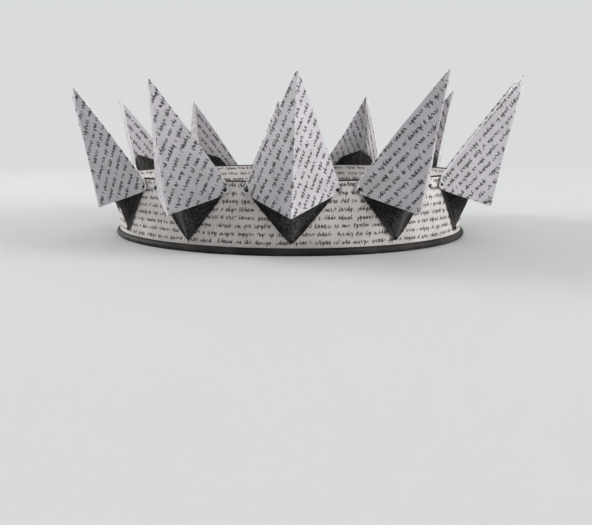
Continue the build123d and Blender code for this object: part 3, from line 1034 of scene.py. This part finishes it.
def model_pin(name, shank):
    """A pin whose head stands on z = 0 and whose shank goes down from there."""
    rim = HEAD_HEIGHT * RIM_SHARE
    pin = start_mesh(
        bpy.ops.mesh.primitive_cylinder_add,
        vertices=20,
        radius=HEAD_RADIUS,
        depth=rim,
        location=(0, 0, rim / 2),
    )
    select_in(pin, "FACE", lambda face: is_level(face, rim))
    for step in range(1, DOME_STEPS + 1):
        before = pi / 2 * (step - 1) / (DOME_STEPS + 0.5)
        now = pi / 2 * step / (DOME_STEPS + 0.5)
        lift = (HEAD_HEIGHT - rim) * (sin(now) - sin(before))
        shrink = cos(now) / cos(before)
        bpy.ops.mesh.extrude_region_move(TRANSFORM_OT_translate={"value": (0, 0, lift)})
        bpy.ops.transform.resize(value=(shrink, shrink, 1), center_override=(0, 0, 0))
    select_in(pin, "FACE", lambda face: is_level(face, 0))
    bpy.ops.mesh.inset(thickness=HEAD_RADIUS - SHANK_RADIUS)
    bpy.ops.mesh.extrude_region_move(TRANSFORM_OT_translate={"value": (0, 0, -shank)})
    end_mesh(pin, name)
    bpy.ops.object.shade_smooth_by_angle(angle=radians(40))
    print(name, "head and shank:", round((HEAD_HEIGHT + shank) / MM, 2), "mm")
    return pin


UPPER_HEAD_SEAT = 93.72 * MM
master_pin = model_pin("master_pin", UPPER_HEAD_SEAT - PIN_END_RADIUS)

# %% [markdown]
# Two upper pins hold each sheet by its tabs, and one lower pin holds the foot of each gusset. They
# could be scattered over the band, but they are few and their places are known, so every place gets
# a copy that points straight out from the band, and each row is joined into one piece.


# %% Put the pins in their places
def pin_all(name, node, master, angles, seat, height):
    """Copies a pin to its places on the band and joins the copies as one piece."""
    copies = []
    for angle in angles:
        copy = master.copy()
        copy.data = master.data.copy()
        outward = Vector((sin(angle), -cos(angle), 0))
        along = Vector((cos(angle), sin(angle), 0))
        turn = Matrix((along, Vector((0, 0, 1)), outward)).transposed().to_4x4()
        copy.data.transform(Matrix.Translation(outward * seat + Vector((0, 0, height))) @ turn)
        bpy.context.scene.collection.objects.link(copy)
        copies.append(copy)
    bpy.ops.object.select_all(action="DESELECT")
    for copy in copies:
        copy.select_set(True)
    bpy.context.view_layer.objects.active = copies[0]
    bpy.ops.object.join()
    piece = bpy.context.active_object
    piece.name = piece.data.name = name
    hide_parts(node)
    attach(piece, "root")
    print(name, len(copies), "pins,", len(piece.data.polygons), "faces")
    return piece


upper_low, upper_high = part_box("upper_pins")
lower_low, lower_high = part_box("lower_pins")
upper_height = (upper_low.z + upper_high.z) / 2
lower_height = (lower_low.z + lower_high.z) / 2
lower_head_seat = -lower_low.y - HEAD_HEIGHT
lower_angles = [k * 2 * pi / POINTS for k in range(POINTS)]
upper_angles = [angle + side * TAB_TURN for angle in lower_angles for side in (-1, 1)]
upper_pins = pin_all(
    "upper_pin_heads", "upper_pins", master_pin, upper_angles, UPPER_HEAD_SEAT, upper_height
)
lower_pins = pin_all(
    "lower_pin_heads", "lower_pins", master_pin, lower_angles, lower_head_seat, lower_height
)
bpy.data.objects.remove(master_pin)

# %% [markdown]
# The heads are dipped in black enamel, which has dulled in places with handling. Plain black would
# look like a hole in the paper, so a little noise makes it paler and rougher here and there, and the
# lamps still leave a small highlight on each dome.

# %% Black enamel for the pins
DULL_SPOTS_PER_MM = 3.0
ENAMEL_BLACK = (0.002, 0.002, 0.002, 1)
ENAMEL_DULL = (0.009, 0.008, 0.008, 1)

pin_enamel, tree, shader, _, millimetres = start_material("pin_enamel")
chips = ramp(tree, noise(tree, millimetres, DULL_SPOTS_PER_MM, 3.0), 0.45, 0.75, 0.0, 1.0)
wire(tree, shader.inputs["Base Color"], blend_colours(tree, chips, ENAMEL_BLACK, ENAMEL_DULL))
wire(tree, shader.inputs["Roughness"], ramp(tree, chips, 0.0, 1.0, 0.3, 0.5))
shader.inputs["Specular IOR Level"].default_value = 0.25
for piece in (upper_pins, lower_pins):
    piece.data.materials.clear()
    piece.data.materials.append(pin_enamel)
print("pin enamel:", len(tree.nodes), "nodes")

# %% [markdown]
# ## The floor's paper
# Studio paper under the crown, which takes its soft shadow. Further out nothing falls on it, and
# there it could only turn dull as the lamps fade, so for the camera it shines with one even pale
# colour instead. Polished and clear things see that colour too, and it lights nothing else.

# %% Studio paper
BACKDROP = (0.70, 0.71, 0.72, 1)
STUDIO_WHITE = (0.68, 0.685, 0.69, 1)
STUDIO_GREY = (0.66, 0.665, 0.67, 1)
FADE_START = 350.0
FADE_END = 1100.0

studio_paper, tree, shader, _, millimetres = start_material("studio_paper")
tooth = noise(tree, millimetres, 0.4, 2.0)
wire(tree, shader.inputs["Base Color"], blend_colours(tree, tooth, STUDIO_GREY, STUDIO_WHITE))
shader.inputs["Roughness"].default_value = 0.9
shader.inputs["Specular IOR Level"].default_value = 0.1
rays = add_node(tree, "ShaderNodeLightPath").outputs
mirrored_or_through = calc(tree, "MAXIMUM", rays["Is Glossy Ray"], rays["Is Transmission Ray"])
seen = calc(tree, "MAXIMUM", rays["Is Camera Ray"], mirrored_or_through)
far_out = ramp(tree, vector_calc(tree, "LENGTH", millimetres, out=1), FADE_START, FADE_END, 0.0, 1.0)
glow = add_node(tree, "ShaderNodeEmission", {"Color": BACKDROP})
glow_share = calc(tree, "MULTIPLY", seen, far_out)
backdrop_inputs = {0: glow_share, 1: shader.outputs[0], 2: glow.outputs[0]}
backdrop = add_node(tree, "ShaderNodeMixShader", backdrop_inputs)
tree.links.new(backdrop.outputs[0], tree.nodes["Material Output"].inputs["Surface"])
dish.data.materials.append(studio_paper)
print("studio paper:", len(tree.nodes), "nodes")

# %% [markdown]
# ## The sizes
# A remade piece could grow past its solid without being noticed. The box round the solids was
# measured at the start, so the box round the finished pieces is measured in the same way, and how far
# each corner grew is printed.

# %% Compare the sizes
scene_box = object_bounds()
for corner, before, after in zip(("low", "high"), cad_box, scene_box):
    grown = [round((abs(new) - abs(old)) / MM, 2) for old, new in zip(before, after)]
    print(corner, "corner grown by mm:", grown)
